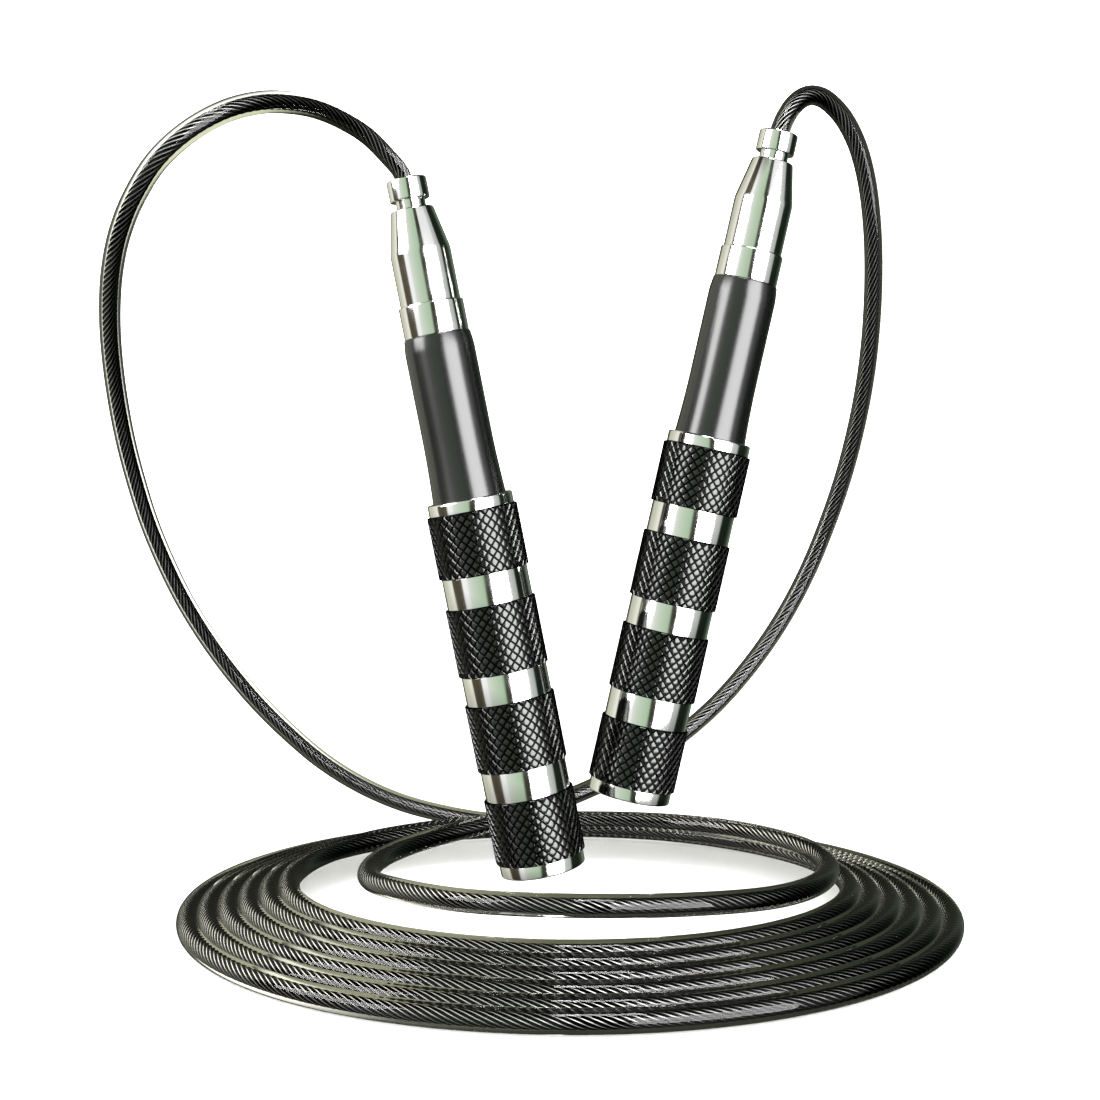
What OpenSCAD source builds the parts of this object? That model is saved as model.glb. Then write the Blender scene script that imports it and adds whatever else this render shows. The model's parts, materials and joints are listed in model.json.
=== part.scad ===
// Speed jump rope: two turned metal handles on ball bearings and a 3 m steel wire rope in a clear
// jacket, coiled on the floor. Both handles stand up out of the coil in a V.
// The origin is the centre of the coil on the floor, +Z is up, +X is towards the right handle.

/* [Rope] */
// Diameter of the jacketed wire rope
rope_d = 4; // [3.8:0.05:4.1]
// Inner radius of the flat coil
coil_inner_r = 47; // [46:0.5:48]
// Outer radius of the flat coil
coil_outer_r = 72.4; // [71.5:0.1:74]
// Height of the coil at its inner edge, where the turns climb
coil_inner_h = 9; // [8:0.5:10]
// Sides of the swept rope tubes
rope_sides = 8; // [8:1:12]

/* [Handle] */
// Length of a handle from its end cap to the rope collar
handle_l = 133.6; // [132.6:0.1:136]
// Diameter over the knurled sleeves
knurl_d = 17.4; // [16.8:0.1:18.4]
// Diameter of the polished bands between the knurled sleeves
band_d = 16.5; // [15.4:0.1:16.7]
// Diameter of the barrel ahead of the grip
barrel_d = 13.3; // [13:0.1:13.6]
// Diameter of the barrel under the sleeves and bands
core_d = 13.6; // [12.4:0.1:13.8]
// Bore of the barrel
barrel_bore_d = 9; // [8.6:0.1:9.4]

/* [Nose] */
// Diameter of the collar that the rope comes out of
collar_d = 7.6; // [7.2:0.1:8]
// Diameter of the spindle's neck behind the collar
neck_d = 5.6; // [5.4:0.1:5.8]
// Bore of the spindle, which the rope passes through
spindle_bore_d = 4.4; // [4.3:0.05:4.6]
// Diameter of the nose where it carries the bearings
nose_d = 11.5; // [11.4:0.1:11.8]
// Diameter of the lock ring between the nose and the barrel
lock_ring_d = 12.35; // [12:0.05:12.8]

/* [Bearings] */
// Inner diameter of each ball bearing
bearing_bore_d = 6; // [5.9:0.1:6]
// Outer diameter of each ball bearing
bearing_d = 10; // [10:0.1:10.2]
// Width of each ball bearing
bearing_w = 3; // [2.8:0.1:3.2]
// Diameter of a bearing ball
ball_d = 1.2; // [1.1:0.05:1.2]
// Number of balls in a bearing
ball_count = 12; // [9:1:13]

/* [Placement] */
// Lean of the left handle to the left, in degrees
left_lean = 11.1; // [10.9:0.1:11.3]
// Lean of the right handle to the right, in degrees
right_lean = 12.6; // [12.4:0.1:12.8]

/* [Hidden] */
$fn = 96;
slip = 0.02;
chamfer = 0.5;

// Centre of each end cap's outer face, and how each handle leans forward
left_base = [-4.9, 9.2, 6.7];
right_base = [12, 20.6, 18.7];
left_pitch = 1.5;
right_pitch = 0.3;

// Places along a handle, in millimetres behind the collar's mouth
collar_end = 4.1;
nose_start = 5.7;
cone_end = 13.7;
nose_end = 23.6;
lock_ring_end = 29.7;
shoulder_end = 32.3;
flare_start = 48;
grip_start = 60.9;
cap_start = handle_l - 2.6;
knurl_starts = [63.2, 81.1, 99.8, 118.5];
knurl_ends = [75.2, 94.2, 112.8, cap_start];

// Inside the nose
bearing_starts = [14.2, 22];
shaft_end = 28;
spigot_end = 36;
spigot_r = 5.45;
retainer_l = 2.4;
nut_l = 2.4;
ferrule_l = 9;
cap_plug_l = 7;
mouth_l = 2.8;
mouth_r = 3.25;

ball_pitch_r = (bearing_bore_d + bearing_d) / 4;
race_gap = 0.4;
cage_t = 0.44;
cage_w = 1.9;
groove_r = ball_d / 2 + slip;

// Route of the rope from the left collar, over its arch and down to the floor behind the coil
left_route = [
    [-31.1, 5.4, 138.9], [-33.7, 4, 142], [-37, 0.8, 145], [-40.7, -3.6, 146.8],
    [-44.7, -9.4, 147.7], [-49, -16, 147.4], [-53.6, -22.6, 146], [-58.6, -27.6, 143.4],
    [-64, -30.2, 139.6], [-69.2, -30, 135], [-73.9, -26.8, 129.4], [-77.8, -21.2, 124],
    [-80.8, -14.4, 118.8], [-83.1, -7.2, 113.9], [-84.9, 0, 108.6], [-86.3, 7.7, 102.4],
    [-87.2, 15.1, 95.8], [-87.5, 22, 88.6], [-87.1, 28.4, 81], [-86, 34.2, 72.9],
    [-84, 39.5, 64.7], [-81.2, 44.3, 56.4], [-77.4, 48.6, 48.2], [-72.8, 52.4, 40.3],
    [-67.3, 55.8, 32.6], [-61, 58.8, 25.4], [-54, 61.6, 18.7], [-46, 64.3, 13],
    [-37.2, 67, 8.5], [-27.6, 69.4, 5.4], [-18, 71.2, 3.4], [-9, 72.2, 2.4],
    [0, 72.5, 2.1]
];

// Route from the coil's sixth turn around the loose inner loop, over itself and up to the right collar
right_route = [
    [-52.2, 3, 6.7], [-48.5, 20, 6.9], [-38, 34.5, 7.3], [-20, 44.8, 7.8],
    [0, 47.8, 8.2], [19.5, 43.4, 8.7], [34.8, 32.6, 9.2], [45.4, 17, 9.4],
    [48.4, 2, 9.5], [45.2, -15, 10], [35, -32, 11.2], [18, -44, 12.8],
    [0, -47.5, 13.5], [-17, -41.5, 12.8], [-29.8, -26, 11], [-36.6, -9, 9],
    [-37, 5, 8.5], [-33, 19, 8.4], [-26.5, 29.5, 8.6], [-17.2, 38, 9.4],
    [-8, 43, 11.1], [3, 49.6, 13.9], [14, 55.2, 18.2], [24, 58.9, 24],
    [33.1, 61.8, 31.2], [41.4, 64.2, 40.2], [48.2, 65.5, 49.8], [53.7, 65.7, 60.1],
    [58, 64.6, 71], [61.3, 62.2, 82], [63.5, 58.8, 93], [64.7, 54.8, 103.4],
    [65, 50.4, 113.6], [64.6, 46, 124.4], [63.5, 42, 134.2], [61.7, 38.8, 143.1],
    [59.3, 36.1, 149.6], [56.3, 33.3, 154.1], [53.5, 30.7, 156.4], [50.8, 28.1, 157.6],
    [47.9, 25.4, 157.5], [45.2, 23, 155.9], [43, 21.1, 153.1], [41.6, 20, 150.2]
];

SIDES = ["left", "right"];
GRIP = [1, 2, 3, 4];
HANDLE_PARTS = concat(
    ["spindle", "ferrule", "spindle_nut", "inner_races", "balls", "ball_cages", "outer_races"],
    ["bearing_spacer", "bearing_retainer", "nose_housing", "lock_ring", "barrel", "front_ring"],
    [for (i = GRIP) str("knurl_sleeve_", i)],
    [for (i = [1, 2, 3]) str("band_", i)],
    ["end_cap"]
);

// Unit vector along a handle, from its end cap to its collar
function axis_of(side) = let (
    lean = side == "left" ? -left_lean : right_lean,
    pitch = side == "left" ? left_pitch : right_pitch
) [sin(lean) * cos(pitch), -sin(pitch), cos(lean) * cos(pitch)];

// Point on a handle's axis, s behind its collar's mouth
function on_axis(side, s) =
    (side == "left" ? left_base : right_base) + (handle_l - s) * axis_of(side);

// Handles are modelled standing on their end caps and then leaned into place
module place(side) {
    lean = side == "left" ? -left_lean : right_lean;
    pitch = side == "left" ? left_pitch : right_pitch;
    translate(side == "left" ? left_base : right_base) rotate([pitch, lean, 0]) children();
}

// Turned piece from a profile of [radius, distance behind the mouth] points
module turned(profile) {
    rotate_extrude() polygon([for (p = profile) [p[0], handle_l - p[1]]]);
}

// Ring between two radii and two distances behind the mouth, with an outer chamfer
module ring(inner_r, outer_r, start, end, c = 0) {
    turned([
        [inner_r, start], [outer_r - c, start], [outer_r, start + c],
        [outer_r, end - c], [outer_r - c, end], [inner_r, end]
    ]);
}

module spindle() {
    shaft_r = bearing_bore_d / 2;
    bore_r = spindle_bore_d / 2;
    color([0.78, 0.79, 0.78]) turned([
        [bore_r, mouth_l], [mouth_r, 0], [collar_d / 2 - 0.3, 0], [collar_d / 2, 0.5],
        [collar_d / 2, collar_end - 0.5], [collar_d / 2 - 0.3, collar_end],
        [neck_d / 2, collar_end], [neck_d / 2, nose_start + 1.5], [shaft_r, nose_start + 1.9],
        [shaft_r, shaft_end], [bore_r, shaft_end]
    ]);
}

module ferrule() {
    color([0.6, 0.55, 0.4])
        ring(rope_d / 2 + slip, 3.3, shaft_end, shaft_end + ferrule_l, chamfer);
}

// Hexagonal nut that holds the inner races against the spindle's shoulder
module spindle_nut() {
    start = bearing_starts[1] + bearing_w;
    color([0.55, 0.55, 0.57]) translate([0, 0, handle_l - start - nut_l]) difference() {
        cylinder(r = 4.1, h = nut_l, $fn = 6);
        translate([0, 0, -1]) cylinder(r = bearing_bore_d / 2, h = nut_l + 2);
    }
}

// Ball groove of both bearings, a torus around the handle's axis
module grooves() {
    for (start = bearing_starts)
        translate([0, 0, handle_l - start - bearing_w / 2])
            rotate_extrude() translate([ball_pitch_r, 0]) circle(r = groove_r, $fn = 32);
}

module inner_races() {
    color([0.7, 0.7, 0.72]) difference() {
        for (start = bearing_starts)
            ring(bearing_bore_d / 2, ball_pitch_r - race_gap, start, start + bearing_w);
        grooves();
    }
}

module outer_races() {
    color([0.7, 0.7, 0.72]) difference() {
        for (start = bearing_starts)
            ring(ball_pitch_r + race_gap, bearing_d / 2, start, start + bearing_w);
        grooves();
    }
}

// Places a child at every ball of both bearings
module at_balls() {
    for (start = bearing_starts, i = [0 : ball_count - 1])
        rotate([0, 0, i * 360 / ball_count])
            translate([ball_pitch_r, 0, handle_l - start - bearing_w / 2]) children();
}

module balls() {
    color([0.85, 0.85, 0.87]) at_balls() sphere(d = ball_d, $fn = 32);
}

// Rings with a round pocket drilled for each ball
module ball_cages() {
    color([0.7, 0.6, 0.35]) difference() {
        for (start = bearing_starts)
            ring(
                ball_pitch_r - cage_t / 2, ball_pitch_r + cage_t / 2,
                start + (bearing_w - cage_w) / 2, start + (bearing_w + cage_w) / 2
            );
        at_balls() rotate([0, 90, 0])
            cylinder(r = ball_d / 2 + slip, h = 4 * cage_t, center = true, $fn = 32);
    }
}

// Tube that keeps the two outer races apart
module bearing_spacer() {
    color([0.7, 0.7, 0.72])
        ring(ball_pitch_r + race_gap, bearing_d / 2, bearing_starts[0] + bearing_w, bearing_starts[1]);
}

// Threaded ring that shuts the bearings into the nose
module bearing_retainer() {
    start = bearing_starts[1] + bearing_w;
    color([0.55, 0.55, 0.57]) ring(4.4, bearing_d / 2, start, start + retainer_l);
}

// Nose with its cone, the bearing seat and the spigot that screws into the barrel. The seat's shoulder
// is relieved, so that it bears on the outer race only
module nose_housing() {
    seat_r = bearing_d / 2;
    seat = bearing_starts[0];
    lip_r = bearing_bore_d / 2 + 0.3;
    relief_r = ball_pitch_r + race_gap;
    color([0.8, 0.81, 0.8]) turned([
        [lip_r, nose_start], [3.8, nose_start], [4.05, nose_start + 0.25],
        [nose_d / 2 - 0.05, cone_end - 0.3], [nose_d / 2, cone_end],
        [nose_d / 2, nose_end], [spigot_r, nose_end], [spigot_r, spigot_end],
        [seat_r, spigot_end], [seat_r, seat], [relief_r, seat],
        [relief_r, seat - 0.4], [lip_r, seat - 0.4]
    ]);
}

module lock_ring() {
    color([0.8, 0.81, 0.8]) ring(spigot_r, lock_ring_d / 2, nose_end, lock_ring_end, 0.3);
}

// Barrel: visible front part with a shoulder and a slight flare, and the core under the grip
module barrel() {
    r = barrel_d / 2;
    flare = [for (i = [0 : 8]) let (t = i / 8)
        [r + 0.4 * t * t, flare_start + t * (grip_start - flare_start)]];
    color([0.07, 0.07, 0.075]) turned(concat(
        [[spigot_r, lock_ring_end], [r - 0.3, lock_ring_end], [r, shoulder_end]],
        flare,
        [[core_d / 2, grip_start], [core_d / 2, cap_start], [barrel_bore_d / 2, cap_start],
         [barrel_bore_d / 2, spigot_end], [spigot_r, spigot_end]]
    ));
}

module front_ring() {
    color([0.8, 0.81, 0.8]) turned([
        [core_d / 2, grip_start], [band_d / 2 - 0.55, grip_start],
        [band_d / 2 - 0.05, grip_start + 0.5], [band_d / 2 - 0.05, knurl_starts[0]],
        [core_d / 2, knurl_starts[0]]
    ]);
}

module knurl_sleeve(i) {
    color([0.06, 0.06, 0.06])
        ring(core_d / 2, knurl_d / 2, knurl_starts[i], knurl_ends[i], 0.35);
}

module band(i) {
    color([0.82, 0.83, 0.82]) ring(core_d / 2, band_d / 2, knurl_ends[i], knurl_starts[i + 1]);
}

// End cap with the plug that is pressed into the barrel
module end_cap() {
    r = band_d / 2 - 0.05;
    color([0.8, 0.81, 0.8]) turned([
        [0, cap_start - cap_plug_l], [barrel_bore_d / 2 - 0.4, cap_start - cap_plug_l],
        [barrel_bore_d / 2, cap_start - cap_plug_l + 0.4], [barrel_bore_d / 2, cap_start],
        [r, cap_start], [r, handle_l - 0.6], [r - 0.6, handle_l], [0, handle_l]
    ]);
}

// The coil's outer shape: flat underneath, and higher inside where each turn climbs on the last
module rope_coil() {
    color([0.13, 0.14, 0.11]) rotate_extrude() polygon([
        [coil_inner_r + 1.5, 0], [coil_outer_r - 1.6, 0], [coil_outer_r, 1.4],
        [coil_outer_r - 0.6, 3.6], [coil_outer_r - 2.4, rope_d + 0.4],
        [coil_inner_r + 2.6, coil_inner_h], [coil_inner_r + 0.6, coil_inner_h - 0.9],
        [coil_inner_r, coil_inner_h - 2.8]
    ]);
}

function unit(v) = v / norm(v);
function tangent(p, i) = unit(p[min(i + 1, len(p) - 1)] - p[max(i - 1, 0)]);
function across(v, t) = unit(v - (v * t) * t);

// Direction to the first corner of each ring, carried along the route so that the tube doesn't twist
function ring_sides(p) = [
    for (i = 0, v = across([0.3, 1, 0.2], tangent(p, 0));
         i < len(p);
         i = i + 1, v = i < len(p) ? across(v, tangent(p, i)) : v) v
];

// Round tube of diameter d swept along the points p
module tube(p, d) {
    n = rope_sides;
    first = ring_sides(p);
    corners = [
        for (i = [0 : len(p) - 1], k = [0 : n - 1])
            let (t = tangent(p, i), a = 360 * k / n)
                p[i] + d / 2 * (cos(a) * first[i] + sin(a) * cross(t, first[i]))
    ];
    walls = [
        for (i = [0 : len(p) - 2], k = [0 : n - 1])
            let (a = i * n + k, b = i * n + (k + 1) % n)
                each [[a, a + n, b], [b, a + n, b + n]]
    ];
    last = (len(p) - 1) * n;
    ends = [[for (k = [0 : n - 1]) k], [for (k = [0 : n - 1]) last + n - 1 - k]];
    polyhedron(corners, concat(walls, ends));
}

module rope_left_arc() {
    inside = [for (s = [shaft_end + ferrule_l, 3]) on_axis("left", s)];
    color([0.13, 0.14, 0.11]) tube(concat(inside, left_route), rope_d);
}

module rope_right_arc() {
    inside = [for (s = [3, shaft_end + ferrule_l]) on_axis("right", s)];
    color([0.13, 0.14, 0.11]) tube(concat(right_route, inside), rope_d);
}

for (side = SIDES) {
    place(side) spindle();
    place(side) ferrule();
    place(side) spindle_nut();
    place(side) inner_races();
    place(side) balls();
    place(side) ball_cages();
    place(side) outer_races();
    place(side) bearing_spacer();
    place(side) bearing_retainer();
    place(side) nose_housing();
    place(side) lock_ring();
    place(side) barrel();
    place(side) front_ring();
    place(side) end_cap();
    for (i = GRIP)
        place(side) knurl_sleeve(i - 1);
    for (i = [1, 2, 3])
        place(side) band(i - 1);
}
rope_coil();
rope_left_arc();
rope_right_arc();
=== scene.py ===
"""Looks of the speed jump rope: turned and knurled handles, and a stranded wire rope in a clear jacket.

Everything is in metres, in the part's frame: the origin is the centre of the coil on the floor, +Z up.
"""

import json
import math

import bmesh
import bpy
import numpy as np
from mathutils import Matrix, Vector


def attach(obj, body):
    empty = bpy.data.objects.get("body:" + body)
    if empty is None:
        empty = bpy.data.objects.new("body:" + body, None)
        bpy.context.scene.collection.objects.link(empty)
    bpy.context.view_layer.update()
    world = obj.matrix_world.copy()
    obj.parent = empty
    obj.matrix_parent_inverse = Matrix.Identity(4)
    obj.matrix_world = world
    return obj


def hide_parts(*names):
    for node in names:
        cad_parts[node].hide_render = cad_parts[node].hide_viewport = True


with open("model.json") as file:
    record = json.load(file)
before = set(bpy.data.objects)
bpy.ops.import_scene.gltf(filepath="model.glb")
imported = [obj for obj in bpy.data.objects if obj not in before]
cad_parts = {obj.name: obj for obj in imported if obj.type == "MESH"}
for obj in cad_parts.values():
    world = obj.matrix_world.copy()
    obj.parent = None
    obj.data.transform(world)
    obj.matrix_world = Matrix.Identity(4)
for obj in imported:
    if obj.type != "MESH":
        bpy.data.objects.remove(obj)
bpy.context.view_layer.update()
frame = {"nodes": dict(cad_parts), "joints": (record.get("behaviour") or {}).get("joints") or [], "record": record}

# Rope
ROPE_D = 0.004
CORE_D = 0.0024
# The jacket's mesh is slightly thinner than the rope's declared size
JACKET_R = ROPE_D / 2 * 0.985
WIRES = 10
WIRE_LAY = 0.0165
# Radius of the core across one wire, from groove to groove, and how near each place is to the crest, which sets
# the painted shade in the grooves
WIRE_PROFILE = (0.74, 0.90, 0.985, 1.0, 0.985, 0.90)
WIRE_CRESTS = (0, 0.35, 0.85, 1, 0.85, 0.35)
CORE_STEP = 0.0011
JACKET_STEP = 0.0014
JACKET_SIDES = 28

# Coil: turn by turn the half widths across (X) and along (Y) shrink and the centre line climbs
COIL_TURNS = 5.74
COIL_HALF_X = 17.55 * ROPE_D
COIL_HALF_Y = 17.6 * ROPE_D
COIL_STEP_X = 0.91 * ROPE_D
COIL_STEP_Y = 1.06 * ROPE_D
COIL_RISE = 0.23 * ROPE_D
COIL_RISE_FROM = 0.6
COIL_SHIFT = 1 / 6
POINTS_PER_TURN = 40

# Handle, distances measured behind the collar's mouth
HANDLE_L = 0.1336
ROPE_INSIDE = (0.037, 0.02, 0.003)
COLLAR_END = 0.0041
NOSE_START = 0.0057
CONE_END = 0.0137
NOSE_END = 0.0236
LOCK_RING_END = 0.0297
SHOULDER_END = 0.0323
FLARE_START = 0.048
GRIP_START = 0.0609
KNURL_STARTS = (0.0632, 0.0811, 0.0998, 0.1185)
KNURL_ENDS = (0.0752, 0.0942, 0.1128, 0.131)
CAP_START = 0.131
CAP_PLUG_L = 0.007
SHAFT_END = 0.028
SPIGOT_END = 0.036

# Handle radii
COLLAR_R = 0.0038
NECK_R = 0.0028
SHAFT_R = 0.003
SPINDLE_BORE_R = 0.0022
MOUTH_R = 0.00325
SPIGOT_R = 0.00545
SEAT_R = 0.005
BARREL_BORE_R = 0.0045
NOSE_R = 0.00575
LOCK_RING_R = 0.006175
BARREL_R = 0.00665
FLARE_RISE = 0.0004
FLARE_STEPS = 12
CORE_TUBE_R = 0.0068
BAND_R = 0.00825
KNURL_R = 0.0087
KNURL_COUNT = 30
KNURL_PITCH = 0.00203
KNURL_DEPTH = 0.0003
KNURL_SHOULDER = 0.7
KNURL_TOP = 0.5
KNURL_CROWN = 0.00004

SIDES = ("left", "right")
ROPE_BODY = "rope_and_spindles"

# The rope's route over the left arch, the same points as the CAD's. Most of them came out of an
# optimiser and weren't chosen by hand.
LEFT_ROUTE = [
    (-0.0311, 0.0054, 0.1389), (-0.0337, 0.004, 0.142), (-0.037, 0.0008, 0.145),
    (-0.0407, -0.0036, 0.1468), (-0.0447, -0.0094, 0.1477), (-0.049, -0.016, 0.1474),
    (-0.0536, -0.0226, 0.146), (-0.0586, -0.0276, 0.1434), (-0.064, -0.0302, 0.1396),
    (-0.0692, -0.03, 0.135), (-0.0739, -0.0268, 0.1294), (-0.0778, -0.0212, 0.124),
    (-0.0808, -0.0144, 0.1188), (-0.0831, -0.0072, 0.1139), (-0.0849, 0, 0.1086),
    (-0.0863, 0.0077, 0.1024), (-0.0872, 0.0151, 0.0958), (-0.0875, 0.022, 0.0886),
    (-0.0871, 0.0284, 0.081), (-0.086, 0.0342, 0.0729), (-0.084, 0.0395, 0.0647),
    (-0.0812, 0.0443, 0.0564), (-0.0774, 0.0486, 0.0482), (-0.0728, 0.0524, 0.0403),
    (-0.0673, 0.0558, 0.0326), (-0.061, 0.0588, 0.0254), (-0.054, 0.0616, 0.0187),
    (-0.046, 0.0643, 0.013), (-0.0372, 0.067, 0.0085), (-0.0276, 0.0694, 0.0054),
    (-0.018, 0.0712, 0.0034), (-0.009, 0.0722, 0.0024), (0, 0.0725, 0.0021),
]

# The last turn and the loose inner loop, and then the right arch, whose points mostly
# came out of the same optimiser.
RIGHT_ROUTE = [
    (-0.0522, 0.003, 0.0067), (-0.0485, 0.02, 0.0069), (-0.038, 0.0345, 0.0073),
    (-0.02, 0.0448, 0.0078), (0, 0.0478, 0.0082), (0.0195, 0.0434, 0.0087),
    (0.0348, 0.0326, 0.0092), (0.0454, 0.017, 0.0094), (0.0484, 0.002, 0.0095),
    (0.0452, -0.015, 0.01), (0.035, -0.032, 0.0112), (0.018, -0.044, 0.0128),
    (0, -0.0475, 0.0135), (-0.017, -0.0415, 0.0128), (-0.0298, -0.026, 0.011),
    (-0.0366, -0.009, 0.009), (-0.037, 0.005, 0.0085), (-0.033, 0.019, 0.0084),
    (-0.0265, 0.0295, 0.0086), (-0.0172, 0.038, 0.0094), (-0.008, 0.043, 0.0111),
    (0.003, 0.0496, 0.0139), (0.014, 0.0552, 0.0182), (0.024, 0.0589, 0.024),
    (0.0331, 0.0618, 0.0312), (0.0414, 0.0642, 0.0402), (0.0482, 0.0655, 0.0498),
    (0.0537, 0.0657, 0.0601), (0.058, 0.0646, 0.071), (0.0613, 0.0622, 0.082),
    (0.0635, 0.0588, 0.093), (0.0647, 0.0548, 0.1034), (0.065, 0.0504, 0.1136),
    (0.0646, 0.046, 0.1244), (0.0635, 0.042, 0.1342), (0.0617, 0.0388, 0.1431),
    (0.0593, 0.0361, 0.1496), (0.0563, 0.0333, 0.1541), (0.0535, 0.0307, 0.1564),
    (0.0508, 0.0281, 0.1576), (0.0479, 0.0254, 0.1575), (0.0452, 0.023, 0.1559),
    (0.043, 0.0211, 0.1531), (0.0416, 0.02, 0.1502),
]


# ---------------------------------------------------------------- camera

CAMERA_PLACE = (-0.0036, -0.325, 0.0828)
CAMERA_TILT = 87.47
CAMERA_LENS = 57.27


def make_camera():
    cam = bpy.data.cameras.new("camera")
    cam.lens = CAMERA_LENS
    cam.sensor_width = 36
    cam.clip_start = 0.01
    obj = bpy.data.objects.new("camera", cam)
    obj.location = CAMERA_PLACE
    obj.rotation_euler = (math.radians(CAMERA_TILT), 0, 0)
    bpy.context.scene.collection.objects.link(obj)
    bpy.context.scene.camera = obj


# ---------------------------------------------------------------- mesh helpers


def add_mesh(name, verts, faces, material, smooth=True, sharp_angle=None):
    """Makes a mesh object at the origin from points in the part's frame."""
    mesh = bpy.data.meshes.new(name)
    mesh.from_pydata([tuple(v) for v in verts], [], faces)
    mesh.polygons.foreach_set("use_smooth", [smooth] * len(mesh.polygons))
    if sharp_angle is not None:
        mesh.set_sharp_from_angle(angle=math.radians(sharp_angle))
    mesh.materials.append(material)
    mesh.validate()
    obj = bpy.data.objects.new(name, mesh)
    bpy.context.scene.collection.objects.link(obj)
    return obj


def handle_frame(side):
    """Base point, axis and two cross directions of a handle, from its joint."""
    joint = next(j for j in frame["joints"] if j["name"] == f"{side}_handle_spin")
    base = np.array(joint["pos_m"])
    axis = np.array(joint["axis"])
    axis = axis / np.linalg.norm(axis)
    across = np.cross([0, 1, 0], axis)
    across = across / np.linalg.norm(across)
    return base, axis, across, np.cross(axis, across)


def on_axis(side, behind):
    base, axis, _, _ = handle_frame(side)
    return base + (HANDLE_L - behind) * axis


def round_corners(profile, steps=4):
    """Turns (radius, behind, rounding) corners of a closed outline into points, each corner an arc."""
    points = []
    corners = [np.array(c[:2]) for c in profile]
    for i, corner in enumerate(corners):
        size = profile[i][2] if len(profile[i]) > 2 else 0
        if size == 0:
            points.append(corner)
            continue
        before = corners[i - 1] - corner
        after = corners[(i + 1) % len(corners)] - corner
        start = corner + before / np.linalg.norm(before) * size
        end = corner + after / np.linalg.norm(after) * size
        for k in range(steps + 1):
            t = k / steps
            points.append((1 - t) ** 2 * start + 2 * t * (1 - t) * corner + t * t * end)
    return points


def turned(name, side, profile, material, segments=144):
    """Solid of revolution about a handle's axis, from a closed outline of (radius, behind) corners."""
    base, axis, across, along = handle_frame(side)
    outline = round_corners(profile)
    count = len(outline)
    angles = [2 * math.pi * k / segments for k in range(segments)]
    verts = []
    for a in angles:
        ray = math.cos(a) * across + math.sin(a) * along
        verts += [base + (HANDLE_L - s) * axis + r * ray for r, s in outline]
    faces = []
    for k in range(segments):
        here, there = k * count, (k + 1) % segments * count
        for i in range(count):
            j = (i + 1) % count
            faces.append((here + i, there + i, there + j, here + j))
    obj = add_mesh(name, verts, faces, material)
    tidy_surface(obj, 25)
    return obj


def tidy_surface(obj, sharp_angle):
    """Merges the points on an axis, drops empty faces and turns all faces outwards."""
    bm = bmesh.new()
    bm.from_mesh(obj.data)
    bmesh.ops.remove_doubles(bm, verts=bm.verts, dist=1e-7)
    bmesh.ops.dissolve_degenerate(bm, edges=bm.edges, dist=1e-8)
    bmesh.ops.recalc_face_normals(bm, faces=bm.faces)
    bm.to_mesh(obj.data)
    bm.free()
    obj.data.set_sharp_from_angle(angle=math.radians(sharp_angle))


# ---------------------------------------------------------------- rope


def smooth_step(u):
    u = min(max(u, 0.0), 1.0)
    return u * u * (3 - 2 * u)


def coil_point(turn):
    """Centre line of the coil after that many turns from its back, clockwise seen from above."""
    whole = math.floor(turn)
    part = turn - whole
    shrink = float(whole)
    if part < COIL_SHIFT:
        shrink += smooth_step((part + COIL_SHIFT) / (2 * COIL_SHIFT)) - 1
    elif part > 1 - COIL_SHIFT:
        shrink += smooth_step((part - 1 + COIL_SHIFT) / (2 * COIL_SHIFT))
    angle = 2 * math.pi * turn
    return np.array([
        (COIL_HALF_X - COIL_STEP_X * shrink) * math.sin(angle),
        (COIL_HALF_Y - COIL_STEP_Y * shrink) * math.cos(angle),
        ROPE_D / 2 + COIL_RISE * max(0.0, turn - COIL_RISE_FROM),
    ])


def spline(points, per_span=10):
    """Catmull-Rom curve through the points, with its knots spaced by the root of each chord."""
    p = np.array(points, float)
    p = np.vstack([2 * p[0] - p[1], p, 2 * p[-1] - p[-2]])
    knots = np.concatenate([[0], np.cumsum(np.linalg.norm(np.diff(p, axis=0), axis=1) ** 0.5)])
    out = []
    for i in range(1, len(p) - 2):
        k0, k1, k2, k3 = knots[i - 1:i + 3]
        for t in np.linspace(k1, k2, per_span, endpoint=False):
            a1 = ((k1 - t) * p[i - 1] + (t - k0) * p[i]) / (k1 - k0)
            a2 = ((k2 - t) * p[i] + (t - k1) * p[i + 1]) / (k2 - k1)
            a3 = ((k3 - t) * p[i + 1] + (t - k2) * p[i + 2]) / (k3 - k2)
            b1 = ((k2 - t) * a1 + (t - k0) * a2) / (k2 - k0)
            b2 = ((k3 - t) * a2 + (t - k1) * a3) / (k3 - k1)
            out.append(((k2 - t) * b1 + (t - k1) * b2) / (k2 - k1))
    out.append(p[-2])
    return np.array(out)


def even_spacing(points, step):
    lengths = np.concatenate([[0], np.cumsum(np.linalg.norm(np.diff(points, axis=0), axis=1))])
    count = int(round(lengths[-1] / step))
    at = np.linspace(0, lengths[-1], count + 1)
    return np.stack([np.interp(at, lengths, points[:, i]) for i in range(3)], axis=1)


def rope_line():
    """The whole rope's centre line, from inside the left handle to inside the right one."""
    turns = int(COIL_TURNS * POINTS_PER_TURN)
    coil = [coil_point(COIL_TURNS * k / turns) for k in range(1, turns)]
    route = [on_axis("left", s) for s in ROPE_INSIDE]
    route += [np.array(p) for p in LEFT_ROUTE]
    route += coil
    route += [np.array(p) for p in RIGHT_ROUTE]
    route += [on_axis("right", s) for s in reversed(ROPE_INSIDE)]
    return spline(route)


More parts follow.
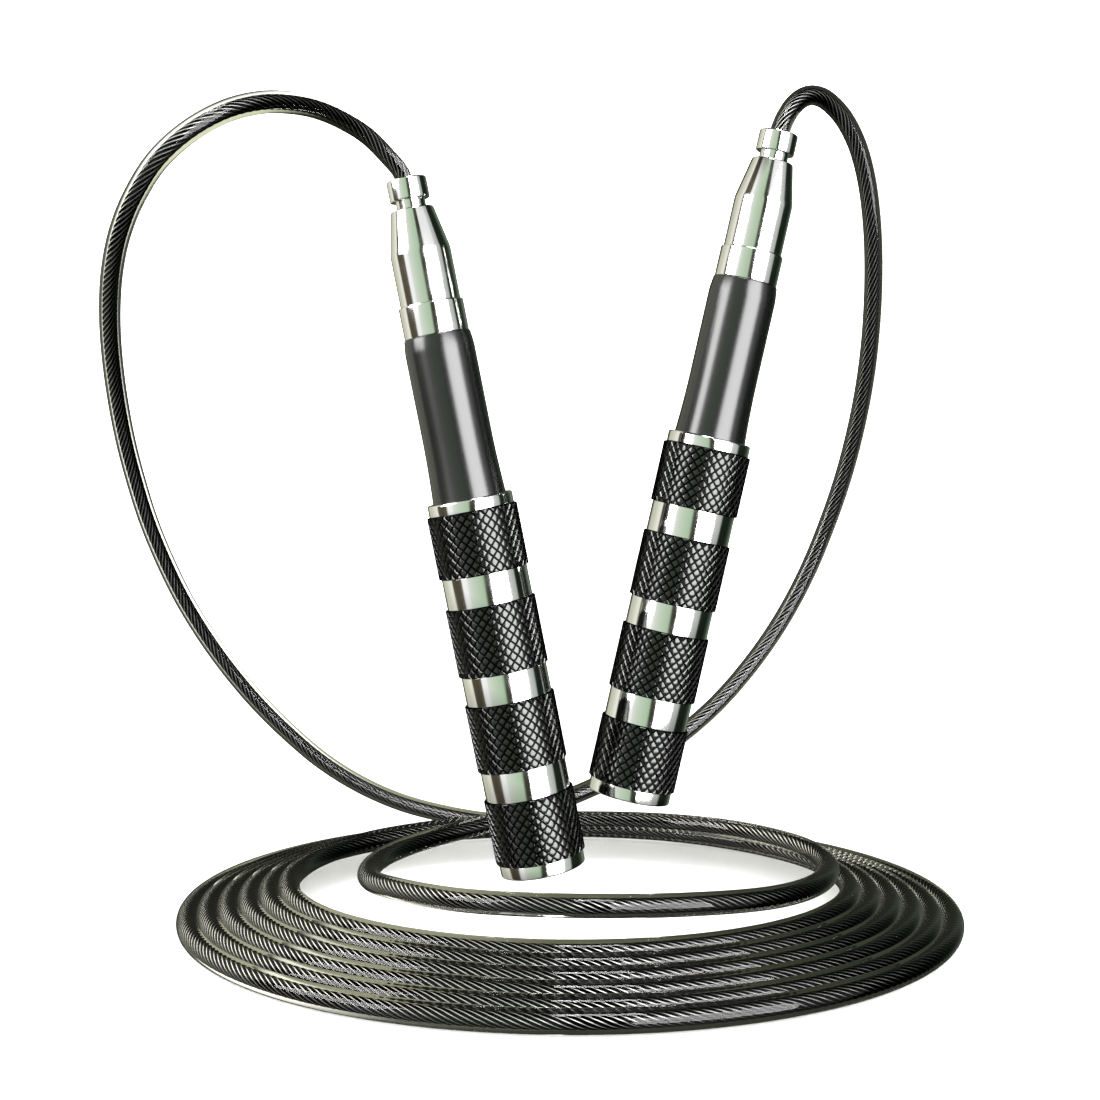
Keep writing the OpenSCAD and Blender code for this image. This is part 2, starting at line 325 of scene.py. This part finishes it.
def carried_frames(line):
    """Tangent and two cross directions at each point, carried along without twisting."""
    tangents = np.gradient(line, axis=0)
    tangents /= np.linalg.norm(tangents, axis=1)[:, None]
    side = np.cross(tangents[0], [0.3, 1.0, 0.2])
    sides = []
    for t in tangents:
        side = side - np.dot(side, t) * t
        side = side / np.linalg.norm(side)
        sides.append(side)
    sides = np.array(sides)
    return tangents, sides, np.cross(tangents, sides)


def sweep(name, line, radii, turn_per_metre, material):
    """Sweeps a cross section, given as radii at even angles, along a line, turning it as it goes."""
    _, first, second = carried_frames(line)
    count, rings = len(radii), len(line)
    step = np.linalg.norm(np.diff(line, axis=0), axis=1)
    twist = np.concatenate([[0], np.cumsum(step)]) * turn_per_metre
    angle = 2 * np.pi * np.arange(count) / count
    angle = angle[None, :] + twist[:, None]
    offset = np.cos(angle)[..., None] * first[:, None, :]
    offset = offset + np.sin(angle)[..., None] * second[:, None, :]
    verts = (line[:, None, :] + np.array(radii)[None, :, None] * offset).reshape(-1, 3)
    faces = []
    for i in range(rings - 1):
        for k in range(count):
            j = (k + 1) % count
            faces.append((i * count + k, i * count + j, (i + 1) * count + j, (i + 1) * count + k))
    faces.append(tuple(reversed(range(count))))
    faces.append(tuple(range((rings - 1) * count, rings * count)))
    return add_mesh(name, verts, faces, material)


def add_crests(core, crests):
    """Stores how far each point stands out of the grooves between the wires, the mask for the painted shade in the
    grooves.
    """
    layer = core.data.attributes.new("crest", "FLOAT", "POINT")
    points = len(core.data.vertices)
    layer.data.foreach_set("value", np.resize(np.array(crests, np.float32), points))


def make_rope(materials):
    line = rope_line()
    core_line = even_spacing(line, CORE_STEP)
    jacket_line = even_spacing(line, JACKET_STEP)
    wire = CORE_D / 2 * np.array(WIRE_PROFILE)
    turn_per_metre = 2 * math.pi / WIRE_LAY
    core = sweep("rope_core", core_line, np.tile(wire, WIRES), turn_per_metre, materials["wire"])
    add_crests(core, WIRE_CRESTS)
    jacket = sweep("rope_jacket", jacket_line, [JACKET_R] * JACKET_SIDES, 0, materials["jacket"])
    for piece in (jacket, core):
        piece.visible_glossy = False
        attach(piece, ROPE_BODY)
    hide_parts("rope_left_arc", "rope_coil", "rope_right_arc")


# ---------------------------------------------------------------- handles


def knurl_placer(side, start, end, rows):
    """Gives the function that turns diamonds around, rows along and a radius into a point."""
    base, axis, across, along = handle_frame(side)

    def place(u, v, radius):
        a = 2 * math.pi * u / KNURL_COUNT
        ray = math.cos(a) * across + math.sin(a) * along
        return base + (HANDLE_L - start - (end - start) * v / rows) * axis + radius * ray

    return place


def diamond_corners(u2, row, rows):
    """Groove crossings around a diamond, as (half diamonds around, row); the end rows have halves."""
    left, right = (u2 - 1, row), (u2 + 1, row)
    low, high = (u2, row - 1), (u2, row + 1)
    if row == 0:
        return [left, right, high]
    if row == rows:
        return [left, low, right]
    return [left, low, right, high]


def foot_ring(corners, verts, crossings, place):
    """A diamond's points on the floor of the grooves, which its neighbours share."""
    ring = []
    for u2, row in corners:
        key = (u2 % (2 * KNURL_COUNT), row)
        if key not in crossings:
            crossings[key] = len(verts)
            verts.append(place(key[0] / 2, row, KNURL_R - KNURL_DEPTH))
        ring.append(crossings[key])
    return ring


def shrunk_ring(corners, u2, verts, place, share, radius):
    """A diamond's own points, drawn in towards its middle to a share of its size."""
    middle = sum(c[1] for c in corners) / len(corners)
    ring = []
    for u, v in corners:
        ring.append(len(verts))
        spot = (u2 + (u - u2) * share) / 2, middle + (v - middle) * share
        verts.append(place(*spot, radius))
    return ring


def knurl_sleeve(name, side, start, end, material):
    """Sleeve with crossed grooves that leave flat-topped diamonds, each with a foot, shoulder and crown."""
    rows = round((end - start) / (KNURL_PITCH / 2))
    place = knurl_placer(side, start, end, rows)
    verts, faces, crossings = [], [], {}
    for row in range(rows + 1):
        for k in range(KNURL_COUNT):
            u2 = 2 * k + (row % 2)
            corners = diamond_corners(u2, row, rows)
            foot = foot_ring(corners, verts, crossings, place)
            shoulder = shrunk_ring(corners, u2, verts, place, KNURL_SHOULDER, KNURL_R - KNURL_CROWN)
            crown = shrunk_ring(corners, u2, verts, place, KNURL_TOP, KNURL_R)
            faces.append(tuple(crown))
            for i in range(len(corners)):
                j = (i + 1) % len(corners)
                faces.append((foot[i], foot[j], shoulder[j], shoulder[i]))
                faces.append((shoulder[i], shoulder[j], crown[j], crown[i]))
    faces += sleeve_ends(verts, crossings, place, rows)
    obj = add_mesh(name, verts, faces, material)
    tidy_surface(obj, 30)
    return obj


def sleeve_ends(verts, crossings, place, rows):
    """Closes a knurled sleeve: its two end faces and the bore that fits the barrel."""
    faces = []
    bore = {}
    for row in (0, rows):
        ring = sorted(k[0] for k in crossings if k[1] == row)
        inner = []
        for u2 in ring:
            inner.append(len(verts))
            verts.append(place(u2 / 2, row, CORE_TUBE_R))
        bore[row] = inner
        for i, u2 in enumerate(ring):
            j = (i + 1) % len(ring)
            faces.append((crossings[(u2, row)], crossings[(ring[j], row)], inner[j], inner[i]))
    count = len(bore[0])
    for i in range(count):
        j = (i + 1) % count
        faces.append((bore[0][i], bore[0][j], bore[rows][j], bore[rows][i]))
    return faces


def outlines():
    """Closed outlines of the turned pieces, as (radius, behind, corner rounding)."""
    fine, soft = 0.00015, 0.0004
    rim = BAND_R - 0.00005
    flare = []
    for i in range(FLARE_STEPS + 1):
        t = i / FLARE_STEPS
        flare.append((BARREL_R + FLARE_RISE * t * t, FLARE_START + t * (GRIP_START - FLARE_START)))
    return {
        "spindle": [
            (SPINDLE_BORE_R, 0.0028), (MOUTH_R, 0, fine), (COLLAR_R, 0, soft),
            (COLLAR_R, COLLAR_END, soft), (NECK_R, COLLAR_END), (NECK_R, NOSE_START + 0.0015),
            (SHAFT_R, NOSE_START + 0.0019), (SHAFT_R, SHAFT_END), (SPINDLE_BORE_R, SHAFT_END),
        ],
        "nose_housing": [
            (0.0033, NOSE_START), (0.00405, NOSE_START, 0.0003), (NOSE_R, CONE_END, 0.0006),
            (NOSE_R, NOSE_END, fine), (SPIGOT_R, NOSE_END), (SPIGOT_R, SPIGOT_END),
            (SEAT_R, SPIGOT_END), (SEAT_R, 0.0142), (0.0044, 0.0142), (0.0044, 0.0138),
            (0.0033, 0.0138),
        ],
        "lock_ring": [
            (SPIGOT_R, NOSE_END), (LOCK_RING_R, NOSE_END, 0.0003),
            (LOCK_RING_R, LOCK_RING_END, 0.0003), (SPIGOT_R, LOCK_RING_END),
        ],
        "barrel": [
            (SPIGOT_R, LOCK_RING_END), (BARREL_R - 0.0003, LOCK_RING_END, fine),
            (BARREL_R, SHOULDER_END, 0.0006),
            *flare,
            (CORE_TUBE_R, GRIP_START), (CORE_TUBE_R, CAP_START), (BARREL_BORE_R, CAP_START),
            (BARREL_BORE_R, SPIGOT_END), (SPIGOT_R, SPIGOT_END),
        ],
        "front_ring": [
            (CORE_TUBE_R, GRIP_START), (rim, GRIP_START, 0.0005),
            (rim, KNURL_STARTS[0], fine), (CORE_TUBE_R, KNURL_STARTS[0]),
        ],
        "end_cap": [
            (0, CAP_START - CAP_PLUG_L), (BARREL_BORE_R, CAP_START - CAP_PLUG_L, 0.0004),
            (BARREL_BORE_R, CAP_START),
            (rim, CAP_START, fine), (rim, HANDLE_L, 0.0004), (0, HANDLE_L),
        ],
    }


def band_outline(start, end):
    edge = 0.0001
    return [(CORE_TUBE_R, start), (BAND_R, start, edge), (BAND_R, end, edge), (CORE_TUBE_R, end)]


def make_handle(side, materials):
    """The visible pieces of a handle; the bearings inside stay as their CAD nodes."""
    body = f"{side}_handle"
    steel = materials[f"{side}_polished"]
    black = materials[f"{side}_barrel"]
    made = {}
    for name, outline in outlines().items():
        material = black if name == "barrel" else steel
        made[name] = turned(f"{side}_{name}_visual", side, outline, material)
    for i in range(3):
        outline = band_outline(KNURL_ENDS[i], KNURL_STARTS[i + 1])
        made[f"band_{i + 1}"] = turned(f"{side}_band_{i + 1}_visual", side, outline, steel)
    for i, (start, end) in enumerate(zip(KNURL_STARTS, KNURL_ENDS)):
        name = f"knurl_sleeve_{i + 1}"
        made[name] = knurl_sleeve(f"{side}_{name}_visual", side, start, end, materials["knurl"])
    for name, piece in made.items():
        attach(piece, ROPE_BODY if name == "spindle" else body)
        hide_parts(f"{side}_{name}")
        slot_of(name)


def slot_of(name):
    if name == "barrel":
        return "black_barrel"
    if name.startswith("knurl"):
        return "black_knurl"
    return "polished_metal"


# ---------------------------------------------------------------- materials


def new_material(name):
    material = bpy.data.materials.new(name)
    material.use_nodes = True
    tree = material.node_tree
    return material, tree.nodes, tree.links, tree.nodes["Principled BSDF"]


def add_noise(nodes, links, vector, scale, detail=2.0):
    noise = nodes.new("ShaderNodeTexNoise")
    noise.inputs["Scale"].default_value = scale
    noise.inputs["Detail"].default_value = detail
    links.new(vector, noise.inputs["Vector"])
    return noise


def vary(nodes, links, value, low, high, socket):
    """Drives a socket between two values by a 0 to 1 value."""
    spread = nodes.new("ShaderNodeMapRange")
    spread.inputs["From Min"].default_value = 0.3
    spread.inputs["From Max"].default_value = 0.7
    spread.inputs["To Min"].default_value = low
    spread.inputs["To Max"].default_value = high
    links.new(value, spread.inputs["Value"])
    links.new(spread.outputs["Result"], socket)


def add_bump(nodes, links, height, strength, distance, shader):
    bump = nodes.new("ShaderNodeBump")
    bump.inputs["Strength"].default_value = strength
    bump.inputs["Distance"].default_value = distance
    links.new(height, bump.inputs["Height"])
    links.new(bump.outputs["Normal"], shader.inputs["Normal"])


def turning_marks(nodes, links, axis, per_metre):
    """Fine rings left by the lathe: noise that changes along the handle's axis only."""
    place = nodes.new("ShaderNodeTexCoord")
    along = nodes.new("ShaderNodeVectorMath")
    along.operation = "DOT_PRODUCT"
    along.inputs[1].default_value = tuple(axis)
    links.new(place.outputs["Object"], along.inputs[0])
    marks = nodes.new("ShaderNodeTexNoise")
    marks.noise_dimensions = "1D"
    marks.inputs["Scale"].default_value = per_metre
    marks.inputs["Detail"].default_value = 3
    links.new(along.outputs["Value"], marks.inputs["W"])
    return marks.outputs["Fac"], place.outputs["Object"]


def polished_material(side):
    material, nodes, links, shader = new_material(f"{side}_polished_metal")
    _, axis, _, _ = handle_frame(side)
    marks, place = turning_marks(nodes, links, axis, 4000)
    smudge = add_noise(nodes, links, place, 220, 3)
    shader.inputs["Base Color"].default_value = (0.88, 0.89, 0.87, 1)
    shader.inputs["Metallic"].default_value = 1
    vary(nodes, links, smudge.outputs["Fac"], 0.07, 0.14, shader.inputs["Roughness"])
    add_bump(nodes, links, marks, 0.06, 0.00002, shader)
    return material


def barrel_material(side):
    material, nodes, links, shader = new_material(f"{side}_black_barrel")
    _, axis, _, _ = handle_frame(side)
    marks, place = turning_marks(nodes, links, axis, 2500)
    grain = add_noise(nodes, links, place, 5000, 2)
    shader.inputs["Base Color"].default_value = (0.004, 0.0045, 0.0042, 1)
    shader.inputs["Specular IOR Level"].default_value = 0.76
    vary(nodes, links, marks, 0.235, 0.25, shader.inputs["Roughness"])
    add_bump(nodes, links, grain.outputs["Fac"], 0.08, 0.00003, shader)
    return material


def knurl_material():
    material, nodes, links, shader = new_material("black_knurl")
    place = nodes.new("ShaderNodeTexCoord").outputs["Object"]
    wear = add_noise(nodes, links, place, 900, 3)
    shader.inputs["Base Color"].default_value = (0.058, 0.06, 0.058, 1)
    shader.inputs["Metallic"].default_value = 1
    shader.inputs["Specular Tint"].default_value = (0.1, 0.1, 0.1, 1)
    vary(nodes, links, wear.outputs["Fac"], 0.14, 0.26, shader.inputs["Roughness"])
    return material


def wire_material():
    """Steel wires with painted shade: base colour and edge tint run from bright on the crests to near black in the
    grooves between them.
    """
    material, nodes, links, shader = new_material("steel_wire_painted_groove_shade")
    place = nodes.new("ShaderNodeTexCoord").outputs["Object"]
    tone = add_noise(nodes, links, place, 1200, 2)
    crest = nodes.new("ShaderNodeAttribute")
    crest.attribute_name = "crest"
    # Painted shade: the crest value darkens base colour and specular tint to near black in the grooves between the
    # wires.
    ramp = tone_ramp(nodes, links, crest.outputs["Fac"], [
        (0.0, (0.001, 0.001, 0.001)),
        (0.74, (0.008, 0.008, 0.008)),
        (0.93, (0.50, 0.50, 0.50)),
        (1.0, (0.85, 0.85, 0.85)),
    ])
    links.new(ramp, shader.inputs["Base Color"])
    links.new(ramp, shader.inputs["Specular Tint"])
    shader.inputs["Metallic"].default_value = 1
    vary(nodes, links, tone.outputs["Fac"], 0.18, 0.26, shader.inputs["Roughness"])
    return material


def jacket_material():
    """Clear soft PVC with an olive tint that deepens where there is more of it to look through."""
    material, nodes, links, shader = new_material("clear_jacket")
    place = nodes.new("ShaderNodeTexCoord").outputs["Object"]
    flow = add_noise(nodes, links, place, 70, 0)
    tint_ramp = tone_ramp(nodes, links, flow.outputs["Fac"], [
        (0.3, (0.98, 0.98, 0.95)),
        (0.7, (0.95, 0.955, 0.92)),
    ])
    links.new(tint_ramp, shader.inputs["Base Color"])
    shader.inputs["Transmission Weight"].default_value = 1
    shader.inputs["IOR"].default_value = 1.06
    shader.inputs["Roughness"].default_value = 0.0
    shader.inputs["Coat Weight"].default_value = 0.45
    shader.inputs["Coat IOR"].default_value = 1.5
    shader.inputs["Coat Roughness"].default_value = 0.025
    tint = nodes.new("ShaderNodeVolumeAbsorption")
    tint.inputs["Color"].default_value = (0.80, 0.80, 0.73, 1)
    tint.inputs["Density"].default_value = 160
    links.new(tint.outputs["Volume"], nodes["Material Output"].inputs["Volume"])
    return material


def inner_material(name, colour, roughness):
    """Ground or plated metal of a piece inside a handle."""
    material, nodes, links, shader = new_material(name)
    place = nodes.new("ShaderNodeTexCoord").outputs["Object"]
    grain = add_noise(nodes, links, place, 1500, 3)
    shader.inputs["Base Color"].default_value = (*colour, 1)
    shader.inputs["Metallic"].default_value = 1
    vary(nodes, links, grain.outputs["Fac"], roughness, roughness + 0.12, shader.inputs["Roughness"])
    return material


def make_materials():
    materials = {"wire": wire_material(), "jacket": jacket_material(), "knurl": knurl_material()}
    for side in SIDES:
        materials[f"{side}_polished"] = polished_material(side)
        materials[f"{side}_barrel"] = barrel_material(side)
    return materials


def finish_inner_nodes():
    """Gives the CAD nodes that stay their finish, by the record's material slots."""
    finishes = {
        "bearing_steel": inner_material("ground_bearing_steel", (0.72, 0.72, 0.74), 0.15),
        "steel": inner_material("zinc_plated_steel", (0.6, 0.6, 0.62), 0.3),
        "ferrule_brass": inner_material("plain_brass", (0.72, 0.58, 0.3), 0.28),
    }
    slots = {s["node"]: s["material_slot"] for s in frame["record"]["subparts"]}
    for name, node in frame["nodes"].items():
        if slots[name] in finishes:
            node.data.materials.clear()
            node.data.materials.append(finishes[slots[name]])


# ---------------------------------------------------------------- studio


def make_floor():
    material, nodes, links, shader = new_material("studio_floor")
    place = nodes.new("ShaderNodeTexCoord").outputs["Object"]
    grain = add_noise(nodes, links, place, 30, 2)
    shader.inputs["Base Color"].default_value = (0.95, 0.95, 0.95, 1)
    vary(nodes, links, grain.outputs["Fac"], 0.85, 0.95, shader.inputs["Roughness"])
    shader.inputs["Specular IOR Level"].default_value = 0
    size, drop = 1.5, -0.0001
    corners = [(-size, -size, drop), (size, -size, drop), (size, size, drop), (-size, size, drop)]
    floor = add_mesh("floor", corners, [(0, 1, 2, 3)], material, smooth=False)
    floor.visible_glossy = False
    floor.visible_transmission = False


def area_light(name, azimuth, elevation, distance, width, height, power):
    """Soft box that looks at the handles; azimuth 0 is at the camera's side and grows to the right."""
    light = bpy.data.lights.new(name, "AREA")
    light.shape = "RECTANGLE"
    light.size, light.size_y = width, height
    light.energy = power
    obj = bpy.data.objects.new(name, light)
    a, e = math.radians(azimuth), math.radians(elevation)
    towards = Vector((math.sin(a) * math.cos(e), -math.cos(a) * math.cos(e), math.sin(e)))
    target = Vector((0, 0.01, 0.08))
    obj.location = target + towards * distance
    obj.rotation_euler = (-towards).to_track_quat("-Z", "Y").to_euler()
    obj.visible_transmission = False
    obj.visible_diffuse = False
    bpy.context.scene.collection.objects.link(obj)


# Tone of the studio's walls by direction, in degrees from the camera's side to the right
MIRRORED_WALLS = [
    (-180, (0.06, 0.06, 0.045)),
    (-152, (0.10, 0.10, 0.08)),
    (-144, (0.60, 0.60, 0.48)),
    (-128, (0.62, 0.62, 0.50)),
    (-100, (0.95, 0.95, 0.85)),
    (-96, (0.10, 0.08, 0.05)),
    (-78, (0.08, 0.065, 0.045)),
    (-66, (0.12, 0.10, 0.07)),
    (-62, (1.0, 1.0, 1.0)),
    (-50, (1.0, 1.0, 1.0)),
    (-44, (0.75, 0.80, 0.72)),
    (-28, (0.60, 0.70, 0.56)),
    (-4, (0.45, 0.60, 0.42)),
    (1, (0.05, 0.05, 0.035)),
    (14, (0.035, 0.035, 0.025)),
    (18, (0.9, 0.9, 0.9)),
    (62, (0.9, 0.9, 0.9)),
    (66, (0.62, 0.62, 0.62)),
    (84, (0.45, 0.48, 0.45)),
    (88, (0.01, 0.016, 0.01)),
    (118, (0.01, 0.016, 0.01)),
    (135, (0.05, 0.07, 0.05)),
    (150, (0.20, 0.24, 0.19)),
    (160, (0.10, 0.11, 0.08)),
    (180, (0.06, 0.06, 0.045)),
]
# Tone by height, from straight down (0) to straight up (1)
MIRRORED_HEIGHTS = [
    (0.0, (0.25, 0.25, 0.25)),
    (0.25, (0.5, 0.5, 0.5)),
    (0.38, (1, 1, 1)),
    (0.84, (1, 1, 1)),
    (0.90, (0.10, 0.10, 0.10)),
    (1.0, (0.05, 0.05, 0.05)),
]
# What shows through the clear jacket: walls above the rope, the ground below it, and where they meet
REFRACTED_WALLS = [
    (-180, (0.013, 0.014, 0.011)),
    (-175, (0.03, 0.032, 0.025)),
    (-171, (0.9, 0.9, 0.86)),
    (-161, (0.9, 0.9, 0.86)),
    (-157, (0.01, 0.012, 0.01)),
    (150, (0.01, 0.012, 0.01)),
    (156, (0.014, 0.015, 0.012)),
    (180, (0.013, 0.014, 0.011)),
]
REFRACTED_GROUND = [
    (-180, (0.05, 0.052, 0.035)),
    (-174, (0.12, 0.123, 0.088)),
    (-160, (0.17, 0.174, 0.125)),
    (-110, (0.20, 0.204, 0.15)),
    (-90, (0.02, 0.022, 0.016)),
    (140, (0.016, 0.018, 0.012)),
    (172, (0.016, 0.018, 0.012)),
    (180, (0.05, 0.052, 0.035)),
]
RISE_FROM, RISE_TO = 0.36, 0.40
REFRACTED_HEIGHTS = [
    (0.0, (1, 1, 1)),
    (0.56, (1, 1, 1)),
    (0.60, (0.30, 0.31, 0.24)),
    (0.76, (0.30, 0.31, 0.24)),
    (0.82, (0.02, 0.022, 0.018)),
    (1.0, (0.02, 0.022, 0.018)),
]
# What the wires under the jacket reflect
WIRE_WALLS = [
    (-180, (0.006, 0.007, 0.006)),
    (-164, (0.01, 0.011, 0.01)),
    (-150, (0.35, 0.35, 0.31)),
    (-100, (0.40, 0.40, 0.37)),
    (-80, (0.10, 0.10, 0.09)),
    (-62, (0.30, 0.30, 0.30)),
    (-44, (0.20, 0.21, 0.20)),
    (-20, (0.12, 0.13, 0.12)),
    (-8, (0.08, 0.08, 0.08)),
    (-6, (0.8, 0.8, 0.8)),
    (-4, (0.8, 0.8, 0.8)),
    (-2, (0.08, 0.08, 0.08)),
    (4, (0.08, 0.08, 0.08)),
    (6, (1.0, 1.0, 1.0)),
    (14, (1.0, 1.0, 1.0)),
    (17, (0.42, 0.42, 0.42)),
    (62, (0.42, 0.42, 0.42)),
    (80, (0.08, 0.08, 0.08)),
    (100, (0.006, 0.007, 0.006)),
    (180, (0.006, 0.007, 0.006)),
]
WIRE_HEIGHTS = [
    (0.0, (0.10, 0.10, 0.10)),
    (0.35, (0.15, 0.15, 0.15)),
    (0.50, (0.4, 0.4, 0.4)),
    (0.60, (1, 1, 1)),
    (0.90, (1, 1, 1)),
    (0.97, (0.5, 0.5, 0.5)),
    (1.0, (0.4, 0.4, 0.4)),
]
# Brightness of each part of the world
STUDIO_STRENGTH = 1.0
WIRE_STRENGTH = 8.0
REFRACTED_STRENGTH = 3.0
WHITE_STRENGTH = 3.2


def tone_ramp(nodes, links, place, stops):
    """Colours along a 0 to 1 value."""
    ramp = nodes.new("ShaderNodeValToRGB")
    elements = ramp.color_ramp.elements
    while len(elements) < len(stops):
        elements.new(0.5)
    for element, (position, colour) in zip(elements, stops):
        element.position = position
        element.color = (*colour, 1)
    links.new(place, ramp.inputs["Fac"])
    return ramp.outputs["Color"]


def wall_ramp(nodes, links, place, walls):
    return tone_ramp(nodes, links, place, [((degrees + 180) / 360, tone) for degrees, tone in walls])


def mix_colours(nodes, links, kind, factor, first, second):
    mix = nodes.new("ShaderNodeMix")
    mix.data_type = "RGBA"
    mix.blend_type = kind
    if isinstance(factor, (int, float)):
        mix.inputs["Factor"].default_value = factor
    else:
        links.new(factor, mix.inputs["Factor"])
    links.new(first, mix.inputs["A"])
    links.new(second, mix.inputs["B"])
    return mix.outputs["Result"]


def maths(nodes, links, operation, first, second):
    node = nodes.new("ShaderNodeMath")
    node.operation = operation
    for socket, value in zip(node.inputs, (first, second)):
        if isinstance(value, (int, float)):
            socket.default_value = value
        else:
            links.new(value, socket)
    return node.outputs[0]


def background(nodes, links, colour, strength):
    node = nodes.new("ShaderNodeBackground")
    node.inputs["Strength"].default_value = strength
    if isinstance(colour, tuple):
        node.inputs["Color"].default_value = colour
    else:
        links.new(colour, node.inputs["Color"])
    return node.outputs[0]


def mix_shaders(nodes, links, factor, first, second):
    mix = nodes.new("ShaderNodeMixShader")
    links.new(factor, mix.inputs["Fac"])
    links.new(first, mix.inputs[1])
    links.new(second, mix.inputs[2])
    return mix.outputs[0]


def directions(nodes, links):
    """Direction looked at, as azimuth and height, each from 0 to 1."""
    place = nodes.new("ShaderNodeTexCoord")
    split = nodes.new("ShaderNodeSeparateXYZ")
    links.new(place.outputs["Generated"], split.inputs[0])
    to_camera = maths(nodes, links, "MULTIPLY", split.outputs["Y"], -1)
    azimuth = maths(nodes, links, "ARCTAN2", split.outputs["X"], to_camera)
    turn = maths(nodes, links, "MULTIPLY", azimuth, 1 / (2 * math.pi))
    height = maths(nodes, links, "MULTIPLY", split.outputs["Z"], 0.5)
    return maths(nodes, links, "ADD", turn, 0.5), maths(nodes, links, "ADD", height, 0.5)


def walls_by_height(nodes, links, azimuth, height, walls, heights):
    """Tones of a studio's walls, brightened or darkened by height."""
    around = wall_ramp(nodes, links, azimuth, walls)
    levels = tone_ramp(nodes, links, height, heights)
    return mix_colours(nodes, links, "MULTIPLY", 1, around, levels)


def refracted_tones(nodes, links, azimuth, height):
    """What shows through the jacket: the ground low down, and walls above it."""
    ground = wall_ramp(nodes, links, azimuth, REFRACTED_GROUND)
    behind = walls_by_height(nodes, links, azimuth, height, REFRACTED_WALLS, REFRACTED_HEIGHTS)
    rise = nodes.new("ShaderNodeMapRange")
    rise.inputs["From Min"].default_value = RISE_FROM
    rise.inputs["From Max"].default_value = RISE_TO
    links.new(height, rise.inputs["Value"])
    return mix_colours(nodes, links, "MIX", rise.outputs["Result"], ground, behind)


def happened(nodes, links, rays, depth):
    """1 once a ray has bounced that way at least once."""
    return maths(nodes, links, "GREATER_THAN", rays.outputs[depth], 0.5)


def make_world():
    """White for the camera and for diffuse light; other rays see a studio with pale and dark walls.

    Mirror rays see one studio, rays through the jacket another, and the wires under it a third.
    """
    world = bpy.data.worlds.new("studio")
    bpy.context.scene.world = world
    world.use_nodes = True
    nodes, links = world.node_tree.nodes, world.node_tree.links
    nodes.clear()
    azimuth, height = directions(nodes, links)
    rays = nodes.new("ShaderNodeLightPath")
    mirrored = walls_by_height(nodes, links, azimuth, height, MIRRORED_WALLS, MIRRORED_HEIGHTS)
    around_wires = walls_by_height(nodes, links, azimuth, height, WIRE_WALLS, WIRE_HEIGHTS)
    refracted = refracted_tones(nodes, links, azimuth, height)
    studio = background(nodes, links, mirrored, STUDIO_STRENGTH)
    on_wires = background(nodes, links, around_wires, WIRE_STRENGTH)
    through = background(nodes, links, refracted, REFRACTED_STRENGTH)
    white = background(nodes, links, (1, 1, 1, 1), WHITE_STRENGTH)
    reflected = happened(nodes, links, rays, "Glossy Depth")
    under = happened(nodes, links, rays, "Transmission Depth")
    scattered = happened(nodes, links, rays, "Diffuse Depth")
    under_jacket = mix_shaders(nodes, links, reflected, through, on_wires)
    inner = mix_shaders(nodes, links, under, studio, under_jacket)
    plain = maths(nodes, links, "MAXIMUM", rays.outputs["Is Camera Ray"], scattered)
    surroundings = mix_shaders(nodes, links, plain, inner, white)
    output = nodes.new("ShaderNodeOutputWorld")
    links.new(surroundings, output.inputs["Surface"])


def make_studio():
    make_floor()
    make_world()
    area_light("left_soft_box", -68, 19, 1.1, 0.71, 0.63, 15)
    area_light("right_soft_box", 38, 3, 1.1, 0.93, 1.03, 33)
    area_light("narrow_window", -2, 63, 1.0, 0.1, 0.36, 1.7)
    area_light("wide_window", 16, 63, 1.0, 0.28, 0.36, 4.8)
    settings = bpy.context.scene.view_settings
    settings.view_transform = "Standard"
    settings.look = "None"


# ---------------------------------------------------------------- build

make_camera()
materials = make_materials()
make_rope(materials)
for side in SIDES:
    make_handle(side, materials)
finish_inner_nodes()
make_studio()
